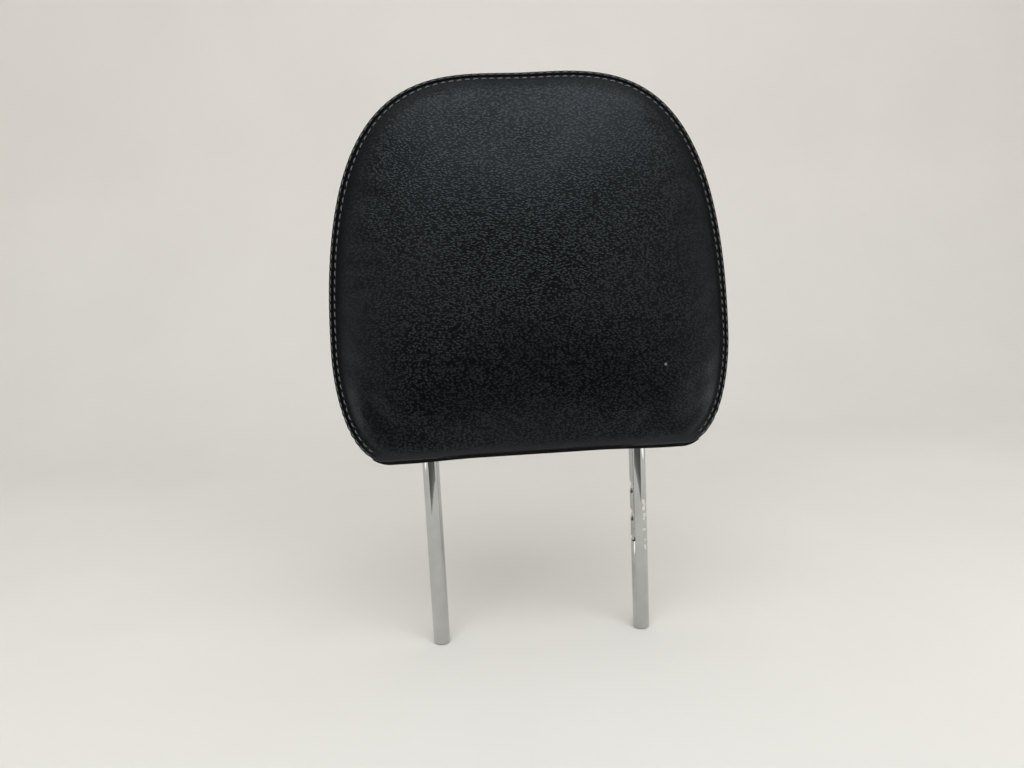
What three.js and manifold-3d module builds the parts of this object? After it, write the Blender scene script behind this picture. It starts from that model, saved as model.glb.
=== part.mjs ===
// Car headrest: two chromed posts, a sewn leather cushion and a moulded base cover.
// Units are millimetres. Z runs up the posts, the face of the cushion looks along -Y,
// and the origin lies midway between the tips of the posts.
import * as THREE from 'three';
import { mergeVertices } from 'three/addons/utils/BufferGeometryUtils.js';
import Module from 'manifold-3d';

const wasm = await Module();
wasm.setup();

// Post frame: one round bar, bent to a U and chromed
const POST_DIAMETER = 12;
const POST_SPACING = 150;
const POST_FREE_LENGTH = 145.5;
const BEND_RADIUS = 35;
const TIP_CHAMFER = 1;
const NOTCH_HEIGHTS = [89, 110];
const NOTCH_DEPTH = 2;
const NOTCH_LENGTH = 9;
const STOP_HEIGHT = 70.5;
const STOP_LENGTH = 3;
const FLAT_DEPTH = 0.6;
const FLAT_LENGTH = 16;

// Cushion outline, seen from the front
const CUSHION_HEIGHT = 253.5;
const HALF_WIDTH = 135.4;
const WIDEST_LIFT = 72.5;
const CROWN_REACH = 56;
const SHOULDER_RISE = 16;
const BASE_WIDTH_SHARE = 0.7386;

// Cushion section, from the face to the back
const SEAM_TO_POSTS = 29.1;
const LEAN = THREE.MathUtils.degToRad(3);
const FACE_CROWN = 22;
const FACE_FLATNESS = 2.6;
const FACE_EDGE_ROUNDNESS = 0.75;
const FACE_CENTRE_LIFT = 129.5;
const BACK_HEM_ROOM = 6.9;
const GUSSET_TAPER = 0.21;
const GUSSET_CURVE = 1.7;
const TOP_TAPER_SHARE = 0.55;
const BACK_CROWN = 16;
const BACK_CENTRE_LIFT = 110.5;

// Sewn cover
const LEATHER_THICKNESS = 2.5;
const TAPE_THICKNESS = 1;
const TAPE_WIDTH = 18;
const TAPE_TO_HEM = 1.3;
const HEM_STRIP_THICKNESS = 2;
const FACE_HEM_END_ROOM = 16;
const BACK_HEM_END_ROOM = 14;

// Carrier: two moulded halves that clamp the bow
const CARRIER_WALL = 2.5;
const CARRIER_MARGIN = 4;
const CARRIER_FRONT_DEPTH = 14;
const CARRIER_REAR_DEPTH = 12;
const CARRIER_LIFT = 9.5;
const RIB_THICKNESS = 3;
const FOAM_OVER_CARRIER = 69;
const BOSS_RADIUS = 5;

// Base cover: a moulded plate with two upstands that hold the hems
const LIP_HEIGHT = 3;
const UPSTAND_THICKNESS = 2;
const UPSTAND_HEIGHT = 14;
const BEAD_HEIGHT = 1.5;

// Screws
const SCREW_RADIUS = 1.75;
const SCREW_LENGTH = 18;
const HEAD_RADIUS = 3.6;
const HEAD_HEIGHT = 2.4;
const HEAD_ROUND = 0.8;
const HEAD_TOP_RADIUS = 2.5;
const RECESS_WIDTH = 1.1;
const RECESS_SPAN = 4;
const RECESS_DEPTH = 1.3;
const CARRIER_SCREW_INBOARD = 23;
const CARRIER_SCREW_END_ROOM = 17;
const BASE_SCREW_OFFSET = 35;
const BASE_BOSS_ROOM = 1;
const BASE_SCREW_LENGTH = 16;
const BASE_BOSS_LENGTH = 20;

// Fits
const GAP = 0.3;
const POST_HOLE_CLEARANCE = 0.4;

// Mesh fineness
const ROD_SIDES = 24;
const BEND_STEPS = 8;
const SIDE_STEPS = 13;
const CORNER_STEPS = 5;
const BASE_STEPS = 3;
const FACE_STEPS = 7;
const GUSSET_STEPS = 4;
const BACK_STEPS = 4;
const SCREW_SIDES = 12;
const BOSS_SIDES = 12;
const WELD_TOLERANCE = 1e-5;

// Far enough to reach past the whole object
const BEYOND = 600;

const POST_RADIUS = POST_DIAMETER / 2;
const POST_X = POST_SPACING / 2;
const BASE_HEIGHT = POST_FREE_LENGTH;
const TOP_HEIGHT = BASE_HEIGHT + CUSHION_HEIGHT;
const BOW_HEIGHT = TOP_HEIGHT - FOAM_OVER_CARRIER - CARRIER_MARGIN - POST_RADIUS;
const BASE_HALF_WIDTH = HALF_WIDTH * BASE_WIDTH_SHARE;
const GUSSET_DEPTH = SEAM_TO_POSTS + CARRIER_REAR_DEPTH + BACK_HEM_ROOM;
const BASE_SCREW_Y = BOSS_RADIUS + BASE_BOSS_ROOM - CARRIER_FRONT_DEPTH;
const LIP_TOP = BASE_HEIGHT + LIP_HEIGHT;
const HEM_HEIGHT = LIP_TOP + GAP;
const CARRIER_BOTTOM = BASE_HEIGHT + CARRIER_LIFT;

// A closed geometry as a solid that can be joined and cut
function solid(geometry) {
  const bare = geometry.index ? geometry.toNonIndexed() : geometry.clone();
  bare.deleteAttribute('normal');
  bare.deleteAttribute('uv');
  const welded = mergeVertices(bare, WELD_TOLERANCE);
  const corners = [];
  for (let i = 0; i < welded.index.count; i += 3) {
    const [a, b, c] = [0, 1, 2].map((k) => welded.index.getX(i + k));
    if (a !== b && b !== c && c !== a) corners.push(a, b, c);
  }
  return new wasm.Manifold(new wasm.Mesh({
    numProp: 3,
    vertProperties: new Float32Array(welded.attributes.position.array),
    triVerts: new Uint32Array(corners),
  }));
}

// The geometry of a finished solid
function geometryOf(body) {
  const mesh = body.getMesh();
  const geometry = new THREE.BufferGeometry();
  geometry.setAttribute('position', new THREE.BufferAttribute(new Float32Array(mesh.vertProperties), 3));
  geometry.setIndex(new THREE.BufferAttribute(new Uint32Array(mesh.triVerts), 1));
  geometry.computeVertexNormals();
  return geometry;
}

// A box between two opposite corners
function block(low, high) {
  const [x, y, z] = [0, 1, 2].map((k) => high[k] - low[k]);
  const box = new THREE.BoxGeometry(x, y, z);
  return solid(box.translate(low[0] + x / 2, low[1] + y / 2, low[2] + z / 2));
}

// A flat outline in the XZ plane, extruded along Y from front to back
function plate(shape, front, back) {
  const geometry = new THREE.ExtrudeGeometry(shape, {
    depth: back - front,
    bevelEnabled: false,
    curveSegments: BEND_STEPS,
  });
  return solid(geometry.rotateX(Math.PI / 2).translate(0, back, 0));
}

// A round bar along an axis, standing on a point
function bar(radius, length, axis, start, sides = BOSS_SIDES) {
  const geometry = new THREE.CylinderGeometry(radius, radius, length, sides).translate(0, length / 2, 0);
  const turn = new THREE.Quaternion().setFromUnitVectors(new THREE.Vector3(0, 1, 0), axis);
  return solid(geometry.applyQuaternion(turn).translate(...start));
}

const ALONG_X = new THREE.Vector3(1, 0, 0);
const ALONG_Y = new THREE.Vector3(0, 1, 0);
const ALONG_Z = new THREE.Vector3(0, 0, 1);

// The centre line of the bent bar, from the left tip round the bow to the right tip
class BowLine extends THREE.Curve {
  constructor(start) {
    super();
    const stations = [[-POST_X, start], [-POST_X, start + TIP_CHAMFER]];
    for (let i = 0; i <= BEND_STEPS; i++) {
      const turn = (i / BEND_STEPS) * (Math.PI / 2);
      stations.push([
        -POST_X + BEND_RADIUS * (1 - Math.cos(turn)),
        BOW_HEIGHT - BEND_RADIUS * (1 - Math.sin(turn)),
      ]);
    }
    const mirrored = stations.map(([x, z]) => [-x, z]).reverse();
    this.stations = [...stations, ...mirrored].map(([x, z]) => new THREE.Vector3(x, 0, z));
  }

  get steps() {
    return this.stations.length - 1;
  }

  getPoint(t, target = new THREE.Vector3()) {
    const place = t * this.steps;
    const from = Math.min(Math.floor(place), this.steps - 1);
    return target.lerpVectors(this.stations[from], this.stations[from + 1], place - from);
  }

  getUtoTmapping(u) {
    return u;
  }
}

// The bent bar as a solid; a larger radius gives the space that it needs
function bentBar(radius, start, chamfer) {
  const section = new THREE.Shape();
  section.absarc(0, 0, radius, 0, 2 * Math.PI, false);
  const line = new BowLine(start);
  const geometry = new THREE.ExtrudeGeometry(section, {
    steps: line.steps,
    curveSegments: ROD_SIDES / 2,
    extrudePath: line,
  });
  const place = geometry.attributes.position;
  for (let i = 0; i < place.count; i++) {
    if (place.getZ(i) > start + chamfer / 2) continue;
    const centre = Math.sign(place.getX(i)) * POST_X;
    const share = (radius - chamfer) / radius;
    place.setX(i, centre + (place.getX(i) - centre) * share);
    place.setY(i, place.getY(i) * share);
  }
  return solid(geometry);
}

// A detent notch on the inner side of the right post
function notch(height, length, square) {
  const inner = POST_X - POST_RADIUS;
  const shape = new THREE.Shape();
  shape.moveTo(inner - NOTCH_DEPTH, height - length / 2);
  if (square) {
    shape.lineTo(inner + NOTCH_DEPTH, height - length / 2);
    shape.lineTo(inner + NOTCH_DEPTH, height + length / 2);
  } else {
    shape.lineTo(inner, height - length / 2);
    shape.lineTo(inner + NOTCH_DEPTH, height);
    shape.lineTo(inner, height + length / 2);
  }
  shape.lineTo(inner - NOTCH_DEPTH, height + length / 2);
  shape.closePath();
  return plate(shape, -POST_DIAMETER, POST_DIAMETER);
}

function makePostFrame() {
  let frame = bentBar(POST_RADIUS, 0, TIP_CHAMFER);
  for (const height of NOTCH_HEIGHTS) frame = frame.subtract(notch(height, NOTCH_LENGTH, false));
  frame = frame.subtract(notch(STOP_HEIGHT, STOP_LENGTH, true));
  const flatTop = BOW_HEIGHT + POST_RADIUS;
  return frame.subtract(block(
    [-FLAT_LENGTH / 2, -POST_DIAMETER, flatTop - FLAT_DEPTH],
    [FLAT_LENGTH / 2, POST_DIAMETER, flatTop + POST_DIAMETER],
  ));
}

// The cushion outline as a ring of points, from the top clockwise seen from the front
function outlineRing() {
  const top = new THREE.Vector2(0, TOP_HEIGHT);
  const widest = new THREE.Vector2(HALF_WIDTH, BASE_HEIGHT + WIDEST_LIFT);
  const foot = new THREE.Vector2(BASE_HALF_WIDTH, BASE_HEIGHT);
  const side = new THREE.CubicBezierCurve(
    top,
    new THREE.Vector2(CROWN_REACH, TOP_HEIGHT),
    new THREE.Vector2(HALF_WIDTH, TOP_HEIGHT + SHOULDER_RISE),
    widest,
  );
  const cornerPull = new THREE.Vector2(HALF_WIDTH, BASE_HEIGHT);
  const corner = new THREE.CubicBezierCurve(widest, widest, cornerPull, foot);
  const base = new THREE.LineCurve(foot, new THREE.Vector2(0, BASE_HEIGHT));
  const right = [
    ...side.getPoints(SIDE_STEPS).slice(0, -1),
    ...corner.getPoints(CORNER_STEPS).slice(0, -1),
    ...base.getPoints(BASE_STEPS),
  ];
  const left = right.slice(1, -1).reverse().map((point) => new THREE.Vector2(-point.x, point.y));
  return [...right, ...left];
}

const RING = outlineRing();
const RING_OUTWARD = RING.map((point, i) => {
  const before = RING.at(i - 1);
  const after = RING[(i + 1) % RING.length];
  return new THREE.Vector2(before.y - after.y, after.x - before.x).normalize();
});

// Stations from the middle of the face, over the seams, to the middle of the back.
// Each says how the outline is scaled and lifted there, and how deep it lies.
function sectionStations() {
  const stations = [];
  for (let i = 0; i < FACE_STEPS; i++) {
    const share = Math.sin((i / FACE_STEPS) * (Math.PI / 2));
    stations.push({
      across: share,
      up: share,
      lift: (BASE_HEIGHT + FACE_CENTRE_LIFT) * (1 - share),
      depth: -FACE_CROWN * (1 - share ** FACE_FLATNESS) ** FACE_EDGE_ROUNDNESS,
    });
  }
  for (let i = 0; i <= GUSSET_STEPS; i++) {
    const run = i / GUSSET_STEPS;
    const inward = GUSSET_TAPER * run ** GUSSET_CURVE;
    const up = 1 - inward * TOP_TAPER_SHARE;
    stations.push({ across: 1 - inward, up, lift: BASE_HEIGHT * (1 - up), depth: GUSSET_DEPTH * run });
  }
  const rim = stations.at(-1);
  for (let i = 1; i <= BACK_STEPS; i++) {
    const share = i === BACK_STEPS ? 0 : Math.cos((i / BACK_STEPS) * (Math.PI / 2));
    stations.push({
      across: rim.across * share,
      up: rim.up * share,
      lift: rim.lift * share + (BASE_HEIGHT + BACK_CENTRE_LIFT) * (1 - share),
      depth: GUSSET_DEPTH + BACK_CROWN * (1 - share ** 2),
    });
  }
  return stations;
}

const STATIONS = sectionStations();

// The outward direction of the section between two stations
function facing(from, to) {
  const across = (to.across - from.across) * HALF_WIDTH;
  return new THREE.Vector2(to.depth - from.depth, -across).normalize();
}

// The way that each station moves when the section is set in by one unit on both sides of it
const STATION_OUTWARD = STATIONS.map((station, i) => {
  if (i === 0) return new THREE.Vector2(0, -1);
  if (i === STATIONS.length - 1) return new THREE.Vector2(0, 1);
  const before = facing(STATIONS[i - 1], station);
  const after = facing(station, STATIONS[i + 1]);
  return before.clone().add(after).divideScalar(1 + before.dot(after));
});

// Depth behind the seam as a place in the leaning cushion
function leaned(depth, height) {
  return depth - SEAM_TO_POSTS + (height - BASE_HEIGHT) * Math.tan(LEAN);
}

// The whole cushion as one turned form, drawn out to its outline and set in by a wall
function cushion(inset) {
  const profile = STATIONS.map(({ across, depth }) => new THREE.Vector2(across * HALF_WIDTH, depth));
  const geometry = new THREE.LatheGeometry(profile, RING.length);
  const place = geometry.attributes.position;
  for (let i = 0; i < place.count; i++) {
    const around = Math.floor(i / STATIONS.length) % RING.length;
    const along = i % STATIONS.length;
    const { across, up, lift, depth } = STATIONS[along];
    const outward = STATION_OUTWARD[along];
    const x = across * RING[around].x - inset * outward.x * RING_OUTWARD[around].x;
    const z = up * RING[around].y + lift - inset * outward.x * RING_OUTWARD[around].y;
    place.setXYZ(i, x, leaned(depth - inset * outward.y, z), z);
  }
  return solid(geometry);
}

// The space between two depths, leaning with the cushion
function slice(front, back) {
  const box = new THREE.BoxGeometry(2 * BEYOND, back - front, 2 * BEYOND);
  box.translate(0, (front + back) / 2, 0);
  const place = box.attributes.position;
  for (let i = 0; i < place.count; i++) {
    place.setY(i, leaned(place.getY(i), place.getZ(i)));
  }
  return solid(box);
}

// The space between two heights
function layer(bottom, top) {
  return block([-BEYOND, -BEYOND, bottom], [BEYOND, BEYOND, top]);
}

// A wall of the cushion form between two insets
function wall(outer, inner) {
  return cushion(outer).subtract(cushion(inner));
}

function makeCoverPanel(front, back) {
  return wall(0, LEATHER_THICKNESS).intersect(slice(front, back)).intersect(layer(HEM_HEIGHT, BEYOND));
}

const LINING_INSET = LEATHER_THICKNESS + GAP;
const UPSTAND_TOP = LIP_TOP + UPSTAND_HEIGHT;
const STRIP_BOTTOM = HEM_HEIGHT + LINING_INSET;
const STRIP_TOP = UPSTAND_TOP - BEAD_HEIGHT - GAP;

const CARRIER_HALF_WIDTH = POST_X + POST_RADIUS + CARRIER_MARGIN;

const FACE_SIDE = 1;
const BACK_SIDE = -1;

// Half the straight run of a hem, which is shorter at the back than at the face
function hemHalfLength(side) {
  if (side === FACE_SIDE) return BASE_HALF_WIDTH - FACE_HEM_END_ROOM;
  return BASE_HALF_WIDTH * (1 - GUSSET_TAPER) - BACK_HEM_END_ROOM;
}

// The room over the base cover, out to a distance from the middle and up to a height
function hemRoom(half, top) {
  return block([-half, -BEYOND, 0], [half, BEYOND, top]);
}

// The tape runs behind the seam, up one side, over the top and down the other
function makeSeamTape() {
  return wall(LINING_INSET, LINING_INSET + TAPE_THICKNESS)
    .intersect(slice(-TAPE_WIDTH / 2, TAPE_WIDTH / 2))
    .intersect(layer(STRIP_BOTTOM, BEYOND))
    .subtract(hemRoom(hemHalfLength(FACE_SIDE) + TAPE_TO_HEM, UPSTAND_TOP + TAPE_WIDTH));
}

// The outline of the carrier: it follows the bow at an even margin
function carrierShape(margin, bottom) {
  const half = POST_X + POST_RADIUS + margin;
  const bend = BEND_RADIUS + POST_RADIUS + margin;
  const shape = new THREE.Shape();
  shape.moveTo(-half, bottom);
  shape.lineTo(half, bottom);
  shape.absarc(half - bend, CARRIER_SHOULDER, bend, 0, Math.PI / 2, false);
  shape.absarc(bend - half, CARRIER_SHOULDER, bend, Math.PI / 2, Math.PI, false);
  shape.closePath();
  return shape;
}

// The space that the closed carrier takes up, with a gap around it
function carrierEnvelope(gap) {
  return plate(
    carrierShape(CARRIER_MARGIN + gap, CARRIER_BOTTOM - gap),
    -CARRIER_FRONT_DEPTH - gap,
    CARRIER_REAR_DEPTH + gap,
  );
}

// Three rows of screws, with a rib between each two rows and one at the shoulder of the bow
const CARRIER_SHOULDER = BOW_HEIGHT - BEND_RADIUS;
const LOWEST_ROW = CARRIER_BOTTOM + CARRIER_SCREW_END_ROOM;
const HIGHEST_ROW = CARRIER_SHOULDER - CARRIER_SCREW_END_ROOM;
const SCREW_ROWS = [LOWEST_ROW, (LOWEST_ROW + HIGHEST_ROW) / 2, HIGHEST_ROW];
const RIB_HEIGHTS = [
  (SCREW_ROWS[0] + SCREW_ROWS[1]) / 2,
  (SCREW_ROWS[1] + SCREW_ROWS[2]) / 2,
  CARRIER_SHOULDER,
];

// One half of the carrier between the parting plane and its outer face
function carrierTray(front, back, pocketFront, pocketBack) {
  const innerMargin = CARRIER_MARGIN - CARRIER_WALL;
  let tray = plate(carrierShape(CARRIER_MARGIN, CARRIER_BOTTOM), front, back);
  const pocket = carrierShape(innerMargin, CARRIER_BOTTOM + CARRIER_WALL);
  tray = tray.subtract(plate(pocket, pocketFront, pocketBack));
  const reach = CARRIER_HALF_WIDTH - CARRIER_WALL / 2;
  const half = RIB_THICKNESS / 2;
  for (const height of RIB_HEIGHTS) {
    tray = tray.add(block([-reach, front, height - half], [reach, back, height + half]));
  }
  const ribTop = BOW_HEIGHT + POST_RADIUS + CARRIER_MARGIN - CARRIER_WALL / 2;
  return tray.add(block([-half, front, RIB_HEIGHTS.at(-1)], [half, back, ribTop]));
}

const CARRIER_SCREWS = SCREW_ROWS.flatMap((height) => [
  [CARRIER_SCREW_INBOARD - POST_X, height],
  [POST_X - CARRIER_SCREW_INBOARD, height],
]);
const PARTING_FRONT = -GAP / 2;
const PARTING_REAR = GAP / 2;
const SEAT_Y = CARRIER_REAR_DEPTH - HEAD_HEIGHT - GAP;

function makeCarrierFrontShell(barSpace) {
  const face = -CARRIER_FRONT_DEPTH;
  let shell = carrierTray(face, PARTING_FRONT, face + CARRIER_WALL, POST_DIAMETER);
  for (const [x, z] of CARRIER_SCREWS) {
    shell = shell.add(bar(BOSS_RADIUS, PARTING_FRONT - face, ALONG_Y, [x, face, z]));
    const tip = SEAT_Y - SCREW_LENGTH - GAP;
    shell = shell.subtract(bar(SCREW_RADIUS + GAP, BEYOND, ALONG_Y, [x, tip, z]));
  }
  for (const side of [-1, 1]) {
    const place = [side * BASE_SCREW_OFFSET, BASE_SCREW_Y, CARRIER_BOTTOM];
    const boss = bar(BOSS_RADIUS, BASE_BOSS_LENGTH, ALONG_Z, place);
    const cheek = block(
      [place[0] - BOSS_RADIUS, face, CARRIER_BOTTOM],
      [place[0] + BOSS_RADIUS, BASE_SCREW_Y, CARRIER_BOTTOM + BASE_BOSS_LENGTH],
    );
    const pilot = bar(SCREW_RADIUS + GAP, BASE_BOSS_LENGTH - CARRIER_WALL, ALONG_Z, place);
    shell = shell.add(boss).add(cheek).subtract(pilot);
  }
  return shell.subtract(barSpace);
}

function makeCarrierRearShell(barSpace) {
  const face = CARRIER_REAR_DEPTH;
  let shell = carrierTray(PARTING_REAR, face, -POST_DIAMETER, face - CARRIER_WALL);
  for (const [x, z] of CARRIER_SCREWS) {
    shell = shell.add(bar(BOSS_RADIUS, face - PARTING_REAR, ALONG_Y, [x, PARTING_REAR, z]));
    shell = shell.subtract(bar(SCREW_RADIUS + GAP, BEYOND, ALONG_Y, [x, -BEYOND / 2, z]));
    shell = shell.subtract(bar(HEAD_RADIUS + GAP, BEYOND, ALONG_Y, [x, SEAT_Y - GAP, z]));
  }
  return shell.subtract(barSpace);
}

// A pan-head screw with its seat at the origin, its shank down -Y and a cross recess
function screw(length) {
  const profile = [
    [0, -length],
    [SCREW_RADIUS, -length + 2 * SCREW_RADIUS],
    [SCREW_RADIUS, 0],
    [HEAD_RADIUS, 0],
    [HEAD_RADIUS, HEAD_HEIGHT - HEAD_ROUND],
    [HEAD_TOP_RADIUS, HEAD_HEIGHT],
    [0, HEAD_HEIGHT],
  ].map(([x, y]) => new THREE.Vector2(x, y));
  const body = solid(new THREE.LatheGeometry(profile, SCREW_SIDES));
  const [w, s] = [RECESS_WIDTH / 2, RECESS_SPAN / 2];
  const floor = HEAD_HEIGHT - RECESS_DEPTH;
  return body
    .subtract(block([-w, floor, -s], [w, BEYOND, s]))
    .subtract(block([-s, floor, -w], [s, BEYOND, w]));
}

const FOAM_PARTING = GUSSET_DEPTH / 2;

// A pad fills the cover down to its hem, apart from the tape, the carrier and the base cover's walls
function makeFoamPad(front, back) {
  const tapeInset = LINING_INSET + TAPE_THICKNESS + GAP;
  const tapeSpace = slice(-TAPE_WIDTH / 2 - GAP, TAPE_WIDTH / 2 + GAP).subtract(cushion(tapeInset));
  const roomHalf = Math.max(CARRIER_HALF_WIDTH, hemHalfLength(FACE_SIDE)) + GAP;
  return cushion(LINING_INSET)
    .intersect(slice(front, back))
    .intersect(layer(HEM_HEIGHT, BEYOND))
    .subtract(hemRoom(roomHalf, UPSTAND_TOP + GAP))
    .subtract(tapeSpace)
    .subtract(carrierEnvelope(GAP));
}

// How deep the inner face of the hem lies at a height, on the middle line of the face or the back
function hemDepth(height, side) {
  const line = STATIONS.map(({ up, lift, depth }, i) => {
    const outward = STATION_OUTWARD[i];
    return [depth - LINING_INSET * outward.y, up * BASE_HEIGHT + lift + LINING_INSET * outward.x];
  });
  if (side === BACK_SIDE) line.reverse();
  const below = line.findIndex(([, z]) => z < height);
  const [highDepth, high] = line[below - 1];
  const [lowDepth, low] = line[below];
  return lowDepth + (highDepth - lowDepth) * (height - low) / (high - low);
}

// A flat outline in the YZ plane, given as depths and heights, extruded along X
function hemRun(outline, halfLength) {
  const shape = new THREE.Shape(outline.map(([depth, z]) => new THREE.Vector2(leaned(depth, z), z)));
  const geometry = new THREE.ExtrudeGeometry(shape, { depth: 2 * halfLength, bevelEnabled: false });
  geometry.translate(0, 0, -halfLength);
  return solid(geometry.applyMatrix4(new THREE.Matrix4().makeBasis(ALONG_Y, ALONG_Z, ALONG_X)));
}

function makeHemStrip(side) {
  const low = hemDepth(STRIP_BOTTOM, side);
  const high = hemDepth(STRIP_TOP, side);
  const inward = side * HEM_STRIP_THICKNESS;
  return hemRun([
    [low, STRIP_BOTTOM],
    [high, STRIP_TOP],
    [high + inward, STRIP_TOP],
    [low + inward, STRIP_BOTTOM],
  ], hemHalfLength(side));
}

// A wall that stands on the base cover behind a hem strip, with a bead over the strip's edge
function makeUpstand(side) {
  const outer = side * (HEM_STRIP_THICKNESS + GAP);
  const inner = outer + side * UPSTAND_THICKNESS;
  const low = hemDepth(STRIP_BOTTOM, side);
  const high = hemDepth(STRIP_TOP, side);
  const foot = LIP_TOP - LIP_HEIGHT / 2;
  return hemRun([
    [low + outer, foot],
    [low + outer, STRIP_BOTTOM],
    [high + outer, STRIP_TOP + GAP],
    [high + outer / 2, STRIP_TOP + GAP],
    [high + outer / 2, UPSTAND_TOP],
    [high + inner, UPSTAND_TOP],
    [low + inner, STRIP_BOTTOM],
    [low + inner, foot],
  ], hemHalfLength(side));
}

function makeBaseCover() {
  let cover = cushion(0).intersect(layer(-BEYOND, LIP_TOP));
  for (const side of [FACE_SIDE, BACK_SIDE]) cover = cover.add(makeUpstand(side));
  for (const side of [-1, 1]) {
    const hole = [side * POST_X, 0, 0];
    const holeRadius = POST_RADIUS + POST_HOLE_CLEARANCE;
    cover = cover.subtract(bar(holeRadius, BEYOND, ALONG_Z, hole, ROD_SIDES));
    const place = [side * BASE_SCREW_OFFSET, BASE_SCREW_Y, BASE_HEIGHT];
    const bossLength = CARRIER_LIFT - GAP;
    const seat = [place[0], place[1], BASE_HEIGHT - BEYOND + HEAD_HEIGHT + GAP];
    cover = cover
      .add(bar(BOSS_RADIUS + CARRIER_WALL / 2, bossLength, ALONG_Z, place))
      .subtract(bar(HEAD_RADIUS + GAP, BEYOND, ALONG_Z, seat))
      .subtract(bar(SCREW_RADIUS + GAP, BEYOND, ALONG_Z, place));
  }
  return cover;
}

// Finishes
const CHROME = { color: 0xc9ccce, roughness: 0.12, metalness: 1 };
const LEATHER = { color: 0x1d1f22, roughness: 0.5, metalness: 0 };
const MOULDED_BLACK = { color: 0x0e0e0f, roughness: 0.55, metalness: 0 };
const FOAM = { color: 0xb9b39a, roughness: 0.95, metalness: 0 };
const TAPE = { color: 0x8d8d88, roughness: 0.9, metalness: 0 };
const HEM_PLASTIC = { color: 0x2a2a2c, roughness: 0.5, metalness: 0 };
const ZINC = { color: 0xa9abad, roughness: 0.35, metalness: 1 };

const headrest = new THREE.Group();
headrest.name = 'car_headrest';

function place(name, body, finish, parent = headrest) {
  const mesh = new THREE.Mesh(geometryOf(body), new THREE.MeshStandardMaterial(finish));
  mesh.name = name;
  parent.add(mesh);
  return mesh;
}

const barSpace = bentBar(POST_RADIUS + GAP, -GAP, TIP_CHAMFER);
place('post_frame', makePostFrame(), CHROME);

const carrier = new THREE.Group();
headrest.add(carrier);
place('carrier_front_shell', makeCarrierFrontShell(barSpace), MOULDED_BLACK, carrier);
place('carrier_rear_shell', makeCarrierRearShell(barSpace), MOULDED_BLACK, carrier);
CARRIER_SCREWS.forEach(([x, z], i) => {
  const fastener = place(`carrier_screw_${i + 1}`, screw(SCREW_LENGTH), ZINC, carrier);
  fastener.position.set(x, SEAT_Y, z);
});

const cushionGroup = new THREE.Group();
headrest.add(cushionGroup);
place('foam_front_pad', makeFoamPad(-BEYOND, FOAM_PARTING - GAP / 2), FOAM, cushionGroup);
place('foam_rear_pad', makeFoamPad(FOAM_PARTING + GAP / 2, BEYOND), FOAM, cushionGroup);
place('cover_front_panel', makeCoverPanel(-BEYOND, -GAP / 2), LEATHER, cushionGroup);
place('cover_side_gusset', makeCoverPanel(GAP / 2, GUSSET_DEPTH - GAP / 2), LEATHER, cushionGroup);
place('cover_rear_panel', makeCoverPanel(GUSSET_DEPTH + GAP / 2, BEYOND), LEATHER, cushionGroup);
place('seam_backing_tape', makeSeamTape(), TAPE, cushionGroup);
place('front_hem_strip', makeHemStrip(FACE_SIDE), HEM_PLASTIC, cushionGroup);
place('rear_hem_strip', makeHemStrip(BACK_SIDE), HEM_PLASTIC, cushionGroup);

place('base_cover', makeBaseCover(), MOULDED_BLACK);
for (const [name, side] of [['base_screw_left', -1], ['base_screw_right', 1]]) {
  const fastener = place(name, screw(BASE_SCREW_LENGTH), ZINC);
  fastener.rotation.x = -Math.PI / 2;
  fastener.position.set(side * BASE_SCREW_OFFSET, BASE_SCREW_Y, BASE_HEIGHT + HEAD_HEIGHT);
}

export default headrest;
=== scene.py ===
import math

import bpy
import numpy as np
from mathutils import Euler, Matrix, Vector
from mathutils.kdtree import KDTree


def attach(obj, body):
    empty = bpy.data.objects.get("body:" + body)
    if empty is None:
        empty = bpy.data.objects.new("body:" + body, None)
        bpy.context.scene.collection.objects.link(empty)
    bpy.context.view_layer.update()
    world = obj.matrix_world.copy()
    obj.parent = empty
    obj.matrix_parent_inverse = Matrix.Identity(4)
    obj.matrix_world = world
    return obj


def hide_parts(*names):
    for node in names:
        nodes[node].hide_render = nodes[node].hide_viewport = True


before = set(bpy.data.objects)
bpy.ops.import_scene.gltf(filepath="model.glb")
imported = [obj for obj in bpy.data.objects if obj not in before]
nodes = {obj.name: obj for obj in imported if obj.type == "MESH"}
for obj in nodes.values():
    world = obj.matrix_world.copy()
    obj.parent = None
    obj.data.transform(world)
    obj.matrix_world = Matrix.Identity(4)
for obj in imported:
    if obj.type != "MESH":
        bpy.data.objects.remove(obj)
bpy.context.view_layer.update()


# The bar. Both posts are the legs of one round steel bar, bent to a U inside the cushion
# and chromed. The right leg has two sloped detents for the height latch and a square stop
# below them, all milled into its inner side. Old dirt has dried on beside them.

bar_radius = 0.006
leg_x = 0.075
bend_radius = 0.035
bow_top = 0.320
tip_chamfer = 0.001
bend_steps = 20

bend_start = bow_top - bend_radius
tip_growth = bar_radius / (bar_radius - tip_chamfer)
bpy.ops.object.select_all(action="DESELECT")
bpy.ops.mesh.primitive_circle_add(
    vertices=96, radius=bar_radius - tip_chamfer, fill_type="NOTHING", location=(-leg_x, 0, 0)
)
bar = bpy.context.object
bar.name = "chromed_bar"
bpy.ops.object.mode_set(mode="EDIT")
bpy.ops.mesh.select_all(action="SELECT")
bpy.ops.mesh.extrude_edges_move(TRANSFORM_OT_translate={"value": (0, 0, tip_chamfer)})
bpy.ops.transform.resize(value=(tip_growth, tip_growth, 1), center_override=(-leg_x, 0, tip_chamfer))
bpy.ops.mesh.extrude_edges_move(TRANSFORM_OT_translate={"value": (0, 0, bend_start - tip_chamfer)})
bpy.ops.mesh.spin(
    steps=bend_steps, angle=math.pi / 2, center=(bend_radius - leg_x, 0, bend_start), axis=(0, 1, 0)
)
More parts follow.
